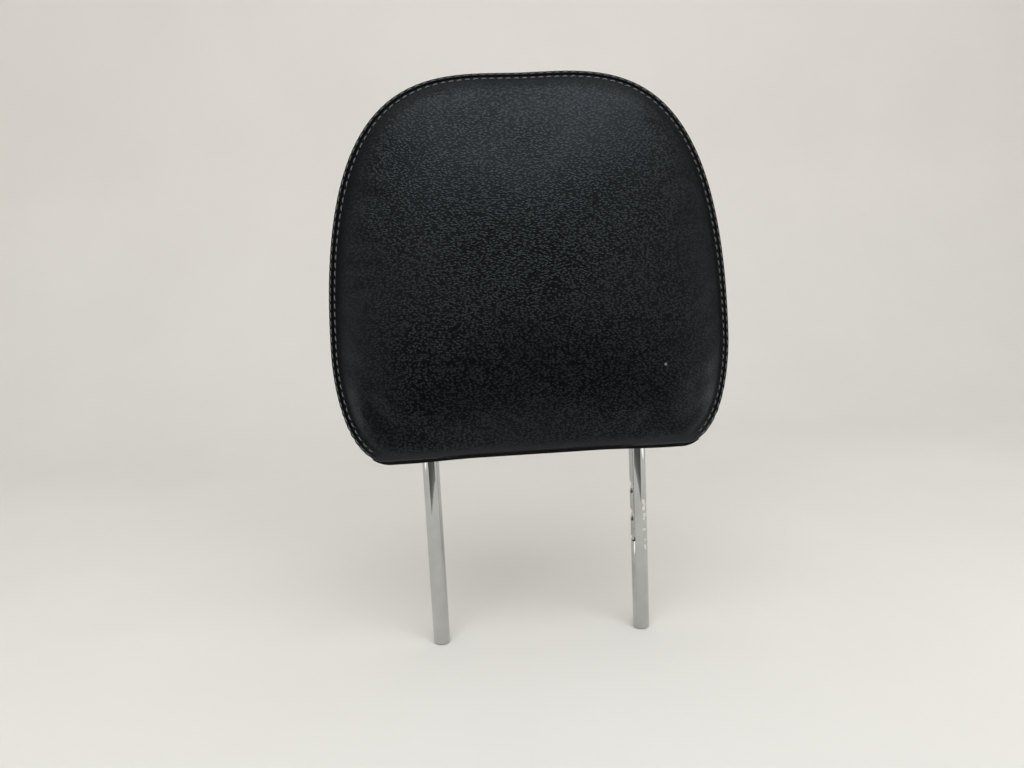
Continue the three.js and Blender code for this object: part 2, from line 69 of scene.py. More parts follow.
bpy.ops.mesh.extrude_edges_move(TRANSFORM_OT_translate={"value": (2 * (leg_x - bend_radius), 0, 0)})
bpy.ops.mesh.spin(
    steps=bend_steps, angle=math.pi / 2, center=(leg_x - bend_radius, 0, bend_start), axis=(0, 1, 0)
)
bpy.ops.mesh.extrude_edges_move(TRANSFORM_OT_translate={"value": (0, 0, tip_chamfer - bend_start)})
bpy.ops.mesh.extrude_edges_move(TRANSFORM_OT_translate={"value": (0, 0, -tip_chamfer)})
bpy.ops.transform.resize(value=(1 / tip_growth, 1 / tip_growth, 1), center_override=(leg_x, 0, 0))
bpy.ops.mesh.select_all(action="SELECT")
bpy.ops.mesh.remove_doubles(threshold=1e-6)
bpy.ops.mesh.select_all(action="DESELECT")
bpy.ops.mesh.select_non_manifold()
bpy.ops.mesh.fill_holes(sides=0)
bpy.ops.mesh.select_all(action="SELECT")
bpy.ops.mesh.normals_make_consistent(inside=False)
bpy.ops.object.mode_set(mode="OBJECT")
bpy.ops.object.transform_apply(location=True, rotation=True, scale=True)


def pick(piece):
    """Makes one piece the only selected one and the active one."""
    bpy.ops.object.select_all(action="DESELECT")
    bpy.context.view_layer.objects.active = piece
    piece.select_set(True)


def cut_away(piece, cutter, how="DIFFERENCE"):
    """Cuts one closed piece out of another, or joins it on, and deletes the cutter."""
    cut = piece.modifiers.new("cut", "BOOLEAN")
    cut.object = cutter
    cut.operation = how
    cut.solver = "EXACT"
    pick(piece)
    bpy.ops.object.modifier_apply(modifier=cut.name)
    bpy.data.objects.remove(cutter)


def round_edges(piece, width, sharper_than, smooth_under):
    """Rounds the edges that are sharper than an angle in degrees, and shades the piece smooth."""
    pick(piece)
    rounded = piece.modifiers.new("rounded", "BEVEL")
    rounded.width = width
    rounded.segments = 2
    rounded.limit_method = "ANGLE"
    rounded.angle_limit = math.radians(sharper_than)
    rounded.use_clamp_overlap = True
    bpy.ops.object.modifier_apply(modifier=rounded.name)
    bpy.ops.object.shade_smooth_by_angle(angle=math.radians(smooth_under))


inner_side = leg_x - bar_radius
mill_length = 0.03
detent_heights = (0.089, 0.110)
detent_depth = 0.002
detent_half_length = 0.0045
stop_height = 0.0705
stop_depth = 0.002
stop_width = 0.003
for detent_height in detent_heights:
    bpy.ops.object.select_all(action="DESELECT")
    bpy.ops.mesh.primitive_cylinder_add(
        vertices=4, radius=1, depth=mill_length, location=(inner_side, 0, detent_height),
        rotation=(math.pi / 2, 0, 0), scale=(detent_depth, detent_half_length, 1),
    )
    detent = bpy.context.object
    bpy.ops.object.transform_apply(location=True, rotation=True, scale=True)
    cut_away(bar, detent)
bpy.ops.object.select_all(action="DESELECT")
bpy.ops.mesh.primitive_cube_add(
    size=1, location=(inner_side, 0, stop_height), scale=(2 * stop_depth, mill_length, stop_width)
)
stop_slot = bpy.context.object
bpy.ops.object.transform_apply(location=True, rotation=True, scale=True)
cut_away(bar, stop_slot)
round_edges(bar, 0.00025, sharper_than=15, smooth_under=40)


def new_material(name):
    """A material with its shader, and the Object coordinates that its patterns read."""
    material = bpy.data.materials.new(name)
    material.use_nodes = True
    tree = material.node_tree
    shader = tree.nodes["Principled BSDF"]
    where = tree.nodes.new("ShaderNodeTexCoord").outputs["Object"]
    return material, tree, shader, where


def add_node(tree, kind, settings=None, **inputs):
    """A node with its settings and its inputs: plain values, or the sockets they come from.

    An input goes by its name, or by its number with a line before it, as in _0.
    """
    node = tree.nodes.new(kind)
    for name, value in (settings or {}).items():
        setattr(node, name, value)
    for name, value in inputs.items():
        socket = node.inputs[int(name[1:])] if name[0] == "_" else node.inputs[name.replace("_", " ")]
        if isinstance(value, bpy.types.NodeSocket):
            tree.links.new(value, socket)
        else:
            socket.default_value = value
    return node


def maths(tree, operation, *values, clamp=False):
    """One step of arithmetic between values or sockets."""
    inputs = {f"_{i}": value for i, value in enumerate(values)}
    step = add_node(tree, "ShaderNodeMath", {"operation": operation, "use_clamp": clamp}, **inputs)
    return step.outputs[0]


def ramp(tree, factor, *stops):
    """A colour or grey that follows a value from stop to stop."""
    node = add_node(tree, "ShaderNodeValToRGB", Fac=factor)
    points = node.color_ramp.elements
    while len(points) < len(stops):
        points.new(0.5)
    for point, (place, tone) in zip(points, stops):
        point.position = place
        point.color = (*tone, 1) if isinstance(tone, tuple) else (tone, tone, tone, 1)
    return node.outputs["Color"]


def mixed(tree, factor, first, second):
    """Two colours, with the second over the first as far as the factor says."""
    mix = add_node(tree, "ShaderNodeMix", {"data_type": "RGBA"}, _0=factor, _6=first, _7=second)
    return mix.outputs[2]


def emboss(tree, shader, strength, distance, height):
    """Raises the surface of a shader where a pattern is high."""
    bump = add_node(tree, "ShaderNodeBump", Strength=strength, Distance=distance, Height=height)
    tree.links.new(bump.outputs["Normal"], shader.inputs["Normal"])


chrome, tree, shader, where = new_material("chrome")
film = add_node(tree, "ShaderNodeTexNoise", Vector=where, Scale=70, Detail=4, Roughness=0.6)
tree.links.new(ramp(tree, film.outputs["Fac"], (0.35, 0.04), (0.75, 0.10)), shader.inputs["Roughness"])
plating = ramp(tree, film.outputs["Fac"], (0.3, (0.47, 0.48, 0.475)), (0.7, (0.53, 0.54, 0.53)))

# pale dried dirt beside the notches and dark grime in them: (place, reach) in metres
dirt_spots = (
    ((0.0777, -0.0053, 0.0988), 0.0027),
    ((0.0788, -0.0046, 0.0962), 0.0022),
    ((0.0779, -0.0052, 0.0936), 0.0029),
    ((0.0785, -0.0049, 0.0886), 0.0027),
    ((0.0779, -0.0052, 0.0858), 0.0018),
    ((0.0770, -0.0057, 0.0777), 0.0011),
    ((0.0780, -0.0052, 0.0775), 0.0012),
    ((0.0788, -0.0046, 0.0776), 0.0012),
    ((0.0785, -0.0048, 0.0691), 0.0014),
    ((0.0783, -0.0050, 0.0649), 0.0021),
    ((0.0788, -0.0046, 0.0629), 0.0019),
)
grime_spots = (
    ((0.0698, -0.0020, 0.1066), 0.0030),
    ((0.0698, -0.0020, 0.0858), 0.0030),
    ((0.0700, -0.0030, 0.0702), 0.0034),
)
dried_dirt = (0.66, 0.64, 0.58, 1)
dark_grime = (0.030, 0.028, 0.024, 1)
crumbs = add_node(tree, "ShaderNodeTexNoise", Vector=where, Scale=620, Detail=6, Roughness=0.7)
broken_up = maths(tree, "ADD", 0.35, maths(tree, "MULTIPLY", crumbs.outputs["Fac"], 1.3))


def spotted(tree, where, broken_up, spots):
    """Where the nearest of some spots reaches, with a broken edge."""
    nearest = 0.0
    for spot, reach in spots:
        away = add_node(tree, "ShaderNodeVectorMath", {"operation": "DISTANCE"}, _0=where, _1=spot)
        way_out = maths(tree, "DIVIDE", away.outputs["Value"], reach)
        near = maths(tree, "SUBTRACT", 1.0, way_out, clamp=True)
        nearest = maths(tree, "MAXIMUM", nearest, near)
    return ramp(tree, maths(tree, "MULTIPLY", nearest, broken_up), (0.30, 0.0), (0.42, 1.0))


crust = spotted(tree, where, broken_up, dirt_spots)
grime = spotted(tree, where, broken_up, grime_spots)
dirtied = mixed(tree, crust, plating, dried_dirt)
tree.links.new(mixed(tree, grime, dirtied, dark_grime), shader.inputs["Base Color"])
bare = maths(tree, "SUBTRACT", 1.0, maths(tree, "MAXIMUM", crust, grime))
tree.links.new(bare, shader.inputs["Metallic"])
emboss(tree, shader, 0.6, 0.0006, maths(tree, "MULTIPLY", crust, crumbs.outputs["Fac"]))
bar.data.materials.append(chrome)
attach(bar, "root")
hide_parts("post_frame")


# The carrier. Two ribbed halves of black polypropylene clamp the bow of the bar between
# them and hold the foam. They are injection moulded, and six screws pull them together.

moulded, tree, shader, where = new_material("moulded_plastic")
etched = add_node(tree, "ShaderNodeTexNoise", Vector=where, Scale=1800, Detail=3, Roughness=0.6)
flow = add_node(tree, "ShaderNodeTexNoise", Vector=where, Scale=30, Detail=3)
tree.links.new(
    ramp(tree, flow.outputs["Fac"], (0.3, (0.006, 0.006, 0.006)), (0.7, (0.010, 0.010, 0.010))),
    shader.inputs["Base Color"],
)
tree.links.new(ramp(tree, etched.outputs["Fac"], (0.3, 0.42), (0.7, 0.58)), shader.inputs["Roughness"])
emboss(tree, shader, 0.25, 0.0001, etched.outputs["Fac"])


def finish_node(name, material):
    """Gives a CAD node its material."""
    mesh = nodes[name].data
    mesh.materials.clear()
    mesh.materials.append(material)


for name in ("carrier_front_shell", "carrier_rear_shell"):
    finish_node(name, moulded)


# The screws. Pan heads with a cross recess, cold headed from steel wire and zinc plated:
# six through the carrier from behind, and two up through the base cover.

zinc, tree, shader, where = new_material("zinc_plate")
shader.inputs["Metallic"].default_value = 1
bloom = add_node(tree, "ShaderNodeTexNoise", Vector=where, Scale=400, Detail=4)
tree.links.new(
    ramp(tree, bloom.outputs["Fac"], (0.3, (0.42, 0.43, 0.45)), (0.7, (0.58, 0.59, 0.60))),
    shader.inputs["Base Color"],
)
tree.links.new(ramp(tree, bloom.outputs["Fac"], (0.3, 0.28), (0.7, 0.45)), shader.inputs["Roughness"])
for name in nodes:
    if "_screw_" in name:
        finish_node(name, zinc)


# The foam. Front and rear pads of moulded polyurethane sit round the carrier. They are
# hidden by the cover, and their skin shows small cells.

foam, tree, shader, where = new_material("foam")
cells = add_node(tree, "ShaderNodeTexVoronoi", Vector=where, Scale=900)
aged = add_node(tree, "ShaderNodeTexNoise", Vector=where, Scale=25, Detail=4)
tree.links.new(
    ramp(tree, aged.outputs["Fac"], (0.3, (0.46, 0.41, 0.28)), (0.7, (0.58, 0.53, 0.40))),
    shader.inputs["Base Color"],
)
shader.inputs["Roughness"].default_value = 0.95
emboss(tree, shader, 0.5, 0.0004, cells.outputs["Distance"])
for name in ("foam_front_pad", "foam_rear_pad"):
    finish_node(name, foam)


# The cushion form. Three leather panels are pulled tight over the foam, so all are cut from
# one closed form: a flat sheet whose points are moved to their places by their turn round
# the outline and their way front to back. Pressed foam makes the cover swell between seams.

# the cushion's sizes are in millimetres, and its points become metres as they enter a mesh
crown_top = 399.0
crown_pull = 56
shoulder_height = 415
widest = 135.4
widest_height = 218
base_half = 100.0
base_height = 145.5
face_middle = 275
face_bulge = 22
gusset_depth = 48
gusset_taper = 0.21
back_middle = 256
back_bulge = 16
seam_plane = -29.1
lean = math.radians(3)
stitch_spacing = 5.5


def bezier(start, pull_out, pull_in, end, count):
    """Points along one cubic curve."""
    t = np.linspace(0, 1, count)[:, None]
    a, b, c, d = (np.array(point, float) for point in (start, pull_out, pull_in, end))
    return a * (1 - t) ** 3 + 3 * b * t * (1 - t) ** 2 + 3 * c * t * t * (1 - t) + d * t ** 3


crown = bezier(
    (0, crown_top), (crown_pull, crown_top), (widest, shoulder_height), (widest, widest_height), 600
)
flank = bezier(
    (widest, widest_height), (widest, widest_height), (widest, base_height), (base_half, base_height), 300
)
right_side = np.vstack((crown, flank[1:], [(0, base_height)]))
outline = np.vstack((right_side[::-1] * (-1, 1), right_side[1:]))
travelled = np.concatenate(([0], np.cumsum(np.hypot(*np.diff(outline, axis=0).T))))
outline_length = travelled[-1]
stitch_count = round(outline_length / stitch_spacing)
stitch_pitch = outline_length / stitch_count
ring_count = 4 * stitch_count
ring_ways = np.arange(ring_count) * outline_length / ring_count
ring = np.stack([np.interp(ring_ways, travelled, outline[:, axis]) for axis in (0, 1)], -1)


def leaned(depth, height):
    """How far back a place lies when the cushion leans, from its depth behind the seam plane."""
    return depth + seam_plane + (height - base_height) * math.tan(lean)


# the section from the middle of the face over the two seams to the middle of the back
face_points = 260
side_points = 120
x, z = ring[:, :1], ring[:, 1:]
outwards = 1 - np.linspace(1, 0, face_points) ** 1.7
domed = -face_bulge * (1 - outwards ** 2.6) ** 0.75
face = np.stack((
    outwards * x, face_middle + outwards * (z - face_middle),
    np.broadcast_to(domed, (ring_count, face_points)),
), -1)
backwards = np.linspace(0, 1, side_points)
narrowed = 1 - gusset_taper * backwards ** 1.7
lowered = 1 - (1 - narrowed) * 0.55
side = np.stack((
    narrowed * x, base_height + lowered * (z - base_height),
    np.broadcast_to(gusset_depth * backwards, (ring_count, side_points)),
), -1)
inwards = np.linspace(1, 0, side_points)
back = np.stack((
    inwards * side[:, -1:, 0], back_middle + inwards * (side[:, -1:, 1] - back_middle),
    np.broadcast_to(gusset_depth + back_bulge * (1 - inwards ** 2), (ring_count, side_points)),
), -1)
section = np.concatenate((face, side[:, 1:], back[:, 1:]), 1)
section_way = np.concatenate((
    np.zeros((ring_count, 1)), np.cumsum(np.linalg.norm(np.diff(section, axis=1), axis=2), 1),
), 1)
widest_way = section_way[:, face_points - 1]
rim_way = section_way[:, face_points + side_points - 2]

# the twin-needle seam is just in front of the widest line, a little more so at the right; the
# plain rear seam is at the rim, and rows lie close together at both
seam_forward = 3.3
more_at_right = 0.6
seam_way = widest_way - seam_forward - more_at_right * np.clip(ring[:, 0] / 100, 0, 1)
seam_steps = (0, 0.25, 0.5, 0.8, 1.2, 1.6, 2.0, 2.4, 2.8, 3.3, 4, 5, 6.5, 8.5, 11.5, 15.5, 21)
rim_steps = (0, 0.4, 0.8, 1.4, 2.2, 3.2, 5, 8, 12)
face_rows, side_rows, back_rows = 30, 10, 18
ways = np.stack([np.concatenate((
    np.linspace(0, seam - seam_steps[-1], face_rows + 1)[:-1],
    seam - np.array(seam_steps[::-1]),
    seam + np.array(seam_steps[1:]),
    np.linspace(seam + seam_steps[-1], rim - rim_steps[-1], side_rows + 2)[1:-1],
    rim - np.array(rim_steps[::-1]),
    rim + np.array(rim_steps[1:]),
    np.linspace(rim + rim_steps[-1], last, back_rows + 1)[1:],
)) for seam, rim, last in zip(seam_way, rim_way, section_way[:, -1])])
row_count = ways.shape[1]
seam_row = face_rows + len(seam_steps) - 1
rim_row = row_count - 1 - back_rows - (len(rim_steps) - 1)
form_places = np.stack([[
    np.interp(ways[k], section_way[k], section[k, :, axis]) for axis in (0, 2, 1)
] for k in range(ring_count)]).transpose(0, 2, 1)
form_places[..., 1] = leaned(form_places[..., 1], form_places[..., 2])
seam_distance = seam_way[:, None] - ways
rim_distance = ways - rim_way[:, None]


def outward(places):
    """Directions out of the form at each of its points."""
    along = np.gradient(places, axis=1)
    wrapped = np.concatenate((places[-1:], places, places[:1]))
    around = (wrapped[2:] - wrapped[:-2]) / 2
    facing = np.cross(around, along)
    facing /= np.maximum(np.linalg.norm(facing, axis=2, keepdims=True), 1e-9)
    for pole, beside in ((0, 1), (-1, -2)):
        middle = facing[:, beside].mean(0)
        facing[:, pole] = middle / np.linalg.norm(middle)
    return facing


def make_form(name, places):
    """A flat sheet of points, moved to the given places and closed at its ends and sides."""
    bpy.ops.object.select_all(action="DESELECT")
    bpy.ops.mesh.primitive_grid_add(x_subdivisions=ring_count, y_subdivisions=row_count - 1, size=2)
    form = bpy.context.object
    form.name = name
    mesh = form.data
    sheet = np.zeros(len(mesh.vertices) * 3)
    mesh.vertices.foreach_get("co", sheet)
    sheet = sheet.reshape(-1, 3)
    turn = np.rint((sheet[:, 0] + 1) / 2 * ring_count).astype(int) % ring_count
    row = np.rint((sheet[:, 1] + 1) / 2 * (row_count - 1)).astype(int)
    mesh.vertices.foreach_set("co", (places[turn, row] / 1000).ravel())
    around = np.stack((ring_ways[turn], seam_distance[turn, row], rim_distance[turn, row]), -1) / 1000
    for label, kind, field, values in (
        ("row", "INT", "value", row.astype(np.int32)),
        ("cover_way", "FLOAT_VECTOR", "vector", around.astype(np.float32).ravel()),
    ):
        mesh.attributes.new(label, kind, "POINT").data.foreach_set(field, values)
    bpy.ops.object.mode_set(mode="EDIT")
    bpy.ops.mesh.select_all(action="SELECT")
    bpy.ops.mesh.remove_doubles(threshold=1e-7)
    bpy.ops.mesh.normals_make_consistent(inside=False)
    bpy.ops.object.mode_set(mode="OBJECT")
    return form


form_facing = outward(form_places)

# the foam presses the cover out between its seams: a slack copy of the form is blown up as
# cloth that is held at the seams and the hem, and the cover follows it away from the seams
cushion_places = form_places
slack_depth = 1.5
most_swell = 2.3
seam_hold = 0.0045
hem_hold = 0.153
frames = 20
slack = np.clip((np.abs(seam_distance) - 8) / 18, 0, 1)
slack *= np.clip((form_places[..., 2] - 151) / 12, 0, 1)
slack *= np.clip((np.abs(rim_distance) - 4) / 14, 0, 1)
slack_places = form_places - slack_depth * slack[..., None] * form_facing
pad = make_form("pad", slack_places)
even_mesh = pad.modifiers.new("even mesh", "REMESH")
even_mesh.mode = "VOXEL"
even_mesh.voxel_size = 0.005
bpy.ops.object.modifier_apply(modifier=even_mesh.name)
start = np.zeros(len(pad.data.vertices) * 3)
pad.data.vertices.foreach_get("co", start)
start = start.reshape(-1, 3)
sewn = KDTree(2 * ring_count)
for k in range(ring_count):
    sewn.insert(form_places[k, seam_row] / 1000, 2 * k)
    sewn.insert(form_places[k, rim_row] / 1000, 2 * k + 1)
sewn.balance()
held = [
    i for i, place in enumerate(start) if sewn.find(place)[2] < seam_hold or place[2] < hem_hold
]
pins = pad.vertex_groups.new(name="sewn")
pins.add(held, 1, "REPLACE")
cloth = pad.modifiers.new("cloth", "CLOTH")
cloth.settings.quality = 6
cloth.settings.mass = 0.3
cloth.settings.tension_stiffness = 25
cloth.settings.compression_stiffness = 25
cloth.settings.shear_stiffness = 10
cloth.settings.bending_stiffness = 0.6
cloth.settings.air_damping = 2
cloth.settings.use_pressure = True
cloth.settings.uniform_pressure_force = 4
cloth.settings.shrink_min = -0.012
cloth.settings.vertex_group_mass = "sewn"
cloth.settings.effector_weights.gravity = 0
for number in range(1, frames + 1):
    bpy.context.scene.frame_set(number)
bpy.ops.object.modifier_apply(modifier=cloth.name)
swollen = np.zeros(len(pad.data.vertices) * 3)
pad.data.vertices.foreach_get("co", swollen)
bpy.context.scene.frame_set(1)
moved = (swollen.reshape(-1, 3) - start) * 1000
moved_far = np.linalg.norm(moved, axis=1, keepdims=True)
moved *= np.minimum(1, most_swell / np.maximum(moved_far, 1e-9))
pad_points = KDTree(len(start))
for i, place in enumerate(start):
    pad_points.insert(place, i)
pad_points.balance()
swell = np.zeros_like(form_places)
for k in range(ring_count):
    for j in range(row_count):
        nearest = pad_points.find_n(slack_places[k, j] / 1000, 6)
        weights = np.exp(-((np.array([point[2] for point in nearest]) / 0.004) ** 2)) + 1e-9
        swell[k, j] = weights @ moved[[point[1] for point in nearest]] / weights.sum()
to_nearest_seam = np.minimum(np.abs(seam_distance), np.abs(rim_distance))
loose = np.clip((to_nearest_seam - 3) / 14, 0, 1)
cushion_places = slack_places + swell * (loose * loose * (3 - 2 * loose))[..., None]
bpy.data.objects.remove(pad)
cushion_facing = outward(cushion_places)


# The sewn leather. The face panel and the side gusset meet in a twin-needle seam up one
# side, over the crown and down the other; the gusset and the back panel in a plain seam.
# Beside the line where they meet, the turned edges lift and the thread pulls them down.

hem_line = 147.8
hem_sag = 2.1
leather_thickness = 0.0012


def sagging(x):
    """The edge at the base hangs lower towards both corners: from 0 in the middle to 1."""
    share = np.clip((np.abs(x) - 40) / 50, 0, 1)
    return share * share * (3 - 2 * share)


sewn_here = np.clip((ring[:, 1] - 147) / 3, 0, 1)[:, None]
phase = (ring_ways / stitch_pitch)[:, None] * 2 * math.pi
away = np.abs(seam_distance)


def hump(distance, centre, reach):
    """A smooth bump of one, centred at a distance."""
    return np.exp(-(((distance - centre) / reach) ** 2))


# the height of the leather over the form, going away from the seam
at_needle_hole = (0.5 + 0.5 * np.cos(phase)) ** 2
cleft = hump(away, 0, 0.55)
turned_edge = hump(away, 1.1, 0.4)
needle_line = hump(away, 2.0, 0.5)
beside_thread = hump(away, 3.2, 0.8)
face_valley = hump(away, 5.5, 2.6) * (seam_distance > 0)
relief = -1.3 * cleft
relief += 0.15 * turned_edge
relief -= (0.12 + 0.35 * at_needle_hole) * needle_line
relief += (0.10 - 0.15 * at_needle_hole) * beside_thread
relief -= 0.55 * face_valley
relief *= sewn_here

# the seam is gathered round the lower corners, and the leather puckers beside it
corner = hump(ring[:, 1], 168, 20)[:, None] * sewn_here
gather = np.sin(ring_ways / 7.9 * 2 * math.pi + 1.5 * np.sin(ring_ways / 19))[:, None]
finer = np.sin(ring_ways / 5.1 * 2 * math.pi + 2.0 * np.sin(ring_ways / 13))[:, None]
relief += corner * (0.13 * gather * hump(away, 4.5, 4) + 0.12 * finer * hump(away, 3, 2.5))
rear_away = np.abs(rim_distance)
rear_here = np.clip((form_places[:, rim_row, 2] - 149) / 4, 0, 1)[:, None]
relief += rear_here * (-1.2 * hump(rear_away, 0, 0.6) + 0.25 * hump(rear_away, 2.2, 1.2))

# the hems turn in over the lip of the base cover
hem_height = hem_line - hem_sag * sagging(form_places[..., 0])
tuck = np.clip(1 - (form_places[..., 2] - hem_height) / 2.5, 0, 1) ** 2
relief -= 0.5 * tuck
cover_form = make_form("cover_form", cushion_places + relief[..., None] * cushion_facing)


def select_points(piece, chosen):
    """Selects points of a mesh by a list of yes and no, and enters edit mode."""
    pick(piece)
    bpy.ops.object.mode_set(mode="EDIT")
    bpy.ops.mesh.select_mode(type="VERT")
    bpy.ops.mesh.select_all(action="DESELECT")
    bpy.ops.object.mode_set(mode="OBJECT")
    piece.data.vertices.foreach_set("select", chosen)
    bpy.ops.object.mode_set(mode="EDIT")


def let_sag(mesh, sag):
    """Lowers a mesh towards the corners by a sag, or lifts it where the sag is negative."""
    places = np.zeros(len(mesh.vertices) * 3)
    mesh.vertices.foreach_get("co", places)
    places[2::3] -= sag * sagging(places[0::3] * 1000) / 1000
    mesh.vertices.foreach_set("co", places)


def cut_at_hem(piece, height, sag, keep_above):
    """Cuts a form along a level line that sags towards the corners."""
    let_sag(piece.data, -sag)
    select_points(piece, np.ones(len(piece.data.vertices), bool))
    bpy.ops.mesh.bisect(
        plane_co=(0, 0, height / 1000), plane_no=(0, 0, 1),
        clear_inner=keep_above, clear_outer=not keep_above, use_fill=not keep_above,
    )
    bpy.ops.object.mode_set(mode="OBJECT")
    let_sag(piece.data, sag)


def cut_panel(name, first_row, last_row):
    """Copies the form, keeps the rows of one panel above the hem, and gives it a thickness."""
    panel = cover_form.copy()
    panel.data = cover_form.data.copy()
    panel.name = name
    bpy.context.collection.objects.link(panel)
    rows = np.zeros(len(panel.data.vertices), np.int32)
    panel.data.attributes["row"].data.foreach_get("value", rows)
    select_points(panel, (rows < first_row) | (rows > last_row))
    bpy.ops.mesh.delete(type="VERT")
    bpy.ops.object.mode_set(mode="OBJECT")
    cut_at_hem(panel, hem_line, hem_sag, keep_above=True)
    wall = panel.modifiers.new("wall", "SOLIDIFY")
    wall.thickness = leather_thickness
    wall.offset = -1
    bpy.ops.object.modifier_apply(modifier=wall.name)
    bpy.ops.object.shade_smooth()
    return panel


face_panel = cut_panel("leather_face_panel", 0, seam_row)
side_gusset = cut_panel("leather_side_gusset", seam_row, rim_row)
back_panel = cut_panel("leather_back_panel", rim_row, row_count - 1)
bpy.data.objects.remove(cover_form)

leather, tree, shader, where = new_material("black_leather")
cover_way = add_node(tree, "ShaderNodeAttribute", {"attribute_name": "cover_way"}).outputs["Vector"]
way_parts = add_node(tree, "ShaderNodeSeparateXYZ", Vector=cover_way)
from_seam = maths(tree, "ABSOLUTE", way_parts.outputs["Y"])
from_rear_seam = maths(tree, "ABSOLUTE", way_parts.outputs["Z"])
open_leather = ramp(tree, maths(tree, "MINIMUM", from_seam, from_rear_seam), (0.0025, 0.0), (0.012, 1.0))

# pebble grain, a little wider than high, that is pulled flat beside the seams
stretch = add_node(tree, "ShaderNodeMapping", Vector=where, Scale=(0.58, 1.0, 1.0)).outputs["Vector"]
wander = add_node(tree, "ShaderNodeTexNoise", Vector=stretch, Scale=420, Detail=2)
bent = add_node(
    tree, "ShaderNodeVectorMath", {"operation": "MULTIPLY_ADD"},
    _0=wander.outputs["Color"], _1=(0.00045, 0.00045, 0.00045), _2=stretch,
).outputs["Vector"]
pebbles = add_node(tree, "ShaderNodeTexVoronoi", Vector=bent, Scale=900)
dome = ramp(tree, pebbles.outputs["Distance"], (0.22, 1.0), (0.58, 0.0))
fine = add_node(tree, "ShaderNodeTexNoise", Vector=stretch, Scale=1500, Detail=3, Roughness=0.6)
along_seam = add_node(tree, "ShaderNodeMapping", Vector=cover_way, Scale=(0.16, 1.0, 1.0))
streaks = add_node(
    tree, "ShaderNodeTexNoise", Vector=along_seam.outputs["Vector"], Scale=620, Detail=3
)
patches = add_node(tree, "ShaderNodeTexNoise", Vector=where, Scale=18, Detail=3)
spot_parts = add_node(tree, "ShaderNodeSeparateXYZ", Vector=where)
flanks = maths(tree, "ABSOLUTE", spot_parts.outputs["X"])
grain_depth = maths(
    tree, "MULTIPLY",
    maths(tree, "MULTIPLY", open_leather, ramp(tree, flanks, (0.085, 1.0), (0.125, 0.4))),
    ramp(tree, patches.outputs["Fac"], (0.3, 0.75), (0.7, 1.1)),
)
skin = maths(tree, "ADD", dome, maths(tree, "MULTIPLY", fine.outputs["Fac"], 0.2))
skin = maths(tree, "MULTIPLY", skin, maths(tree, "ADD", grain_depth, 0.10))
skin = maths(
    tree, "ADD", skin,
    maths(tree, "MULTIPLY", streaks.outputs["Fac"], maths(tree, "SUBTRACT", 1.05, open_leather)),
)
emboss(tree, shader, 1.0, 0.00013, skin)

# the colour is a little lighter on the pebbles and darker in their valleys, which is painted shade of the
# grain;
# it is also lighter away from the seams, and one speck of dust lies low on the right of the face
speck_place = (0.0866, -0.042, 0.2044)
speck_radius = 0.0011
speck_grey = (0.16, 0.16, 0.15, 1)
# painted shade: the valleys of the grain are coloured darker and the tops of the pebbles lighter
lit = maths(tree, "MULTIPLY", maths(tree, "ADD", dome, -0.5), maths(tree, "ADD", grain_depth, 0.1))
lit = maths(tree, "ADD", lit, maths(tree, "MULTIPLY", patches.outputs["Fac"], 0.3))
lit = maths(tree, "ADD", lit, maths(tree, "MULTIPLY", open_leather, 0.35))
tone_with_painted_grain_shade = ramp(tree, lit, (0.0, (0.0010, 0.0012, 0.0014)), (1.0, (0.0054, 0.0062, 0.0070)))
to_speck = add_node(
    tree, "ShaderNodeVectorMath", {"operation": "DISTANCE"}, _0=where, _1=speck_place
)
speck = maths(tree, "LESS_THAN", to_speck.outputs["Value"], speck_radius)
tree.links.new(mixed(tree, speck, tone_with_painted_grain_shade, speck_grey), shader.inputs["Base Color"])

# the skin is shinier where it is open; its reflection is dimmed in the valleys of the grain as painted
# shade, and beside the seams except just above the hem
worn = maths(tree, "ADD", fine.outputs["Fac"], maths(tree, "MULTIPLY", patches.outputs["Fac"], 0.4))
worn = maths(tree, "SUBTRACT", worn, maths(tree, "MULTIPLY", open_leather, 0.45))
tree.links.new(ramp(tree, worn, (0.05, 0.27), (0.95, 0.46)), shader.inputs["Roughness"])
# painted shade: the valleys of the grain reflect less light
valley = maths(tree, "MULTIPLY", maths(tree, "SUBTRACT", 1.0, dome), grain_depth)
open_to_light = maths(tree, "SUBTRACT", 0.42, maths(tree, "MULTIPLY", valley, 0.27))
pressed = maths(tree, "MULTIPLY", maths(tree, "SUBTRACT", 1.0, open_leather), 0.31)
above_hem = ramp(tree, spot_parts.outputs["Z"], (0.150, 0.15), (0.166, 1.0))
shine = maths(tree, "SUBTRACT", open_to_light, maths(tree, "MULTIPLY", pressed, above_hem))
tree.links.new(shine, shader.inputs["Specular IOR Level"])
shader.inputs["Specular Tint"].default_value = (0.78, 0.90, 1.0, 1)

for panel, node in (
    (face_panel, "cover_front_panel"),
    (side_gusset, "cover_side_gusset"),
    (back_panel, "cover_rear_panel"),
):
    panel.data.materials.clear()
    panel.data.materials.append(leather)
    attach(panel, "root")
    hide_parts(node)


# The tape behind the seam and the hem strips. The tape is woven polyester that backs the
# twin-needle seam. The strips are extruded plastic, sewn to the hems of the cover, and
# they hook behind the beads of the base cover.

tape, tree, shader, where = new_material("woven_tape")
weave = add_node(tree, "ShaderNodeTexWave", Vector=where, Scale=600, Distortion=0.5)
cross = add_node(
    tree, "ShaderNodeTexWave", {"bands_direction": "Z"}, Vector=where, Scale=600, Distortion=0.5
)
threads = maths(tree, "MULTIPLY", weave.outputs["Fac"], cross.outputs["Fac"])
tree.links.new(
    ramp(tree, threads, (0.0, (0.20, 0.20, 0.19)), (1.0, (0.34, 0.34, 0.32))),
    shader.inputs["Base Color"],
)
shader.inputs["Roughness"].default_value = 0.9
emboss(tree, shader, 0.5, 0.0002, threads)
finish_node("seam_backing_tape", tape)

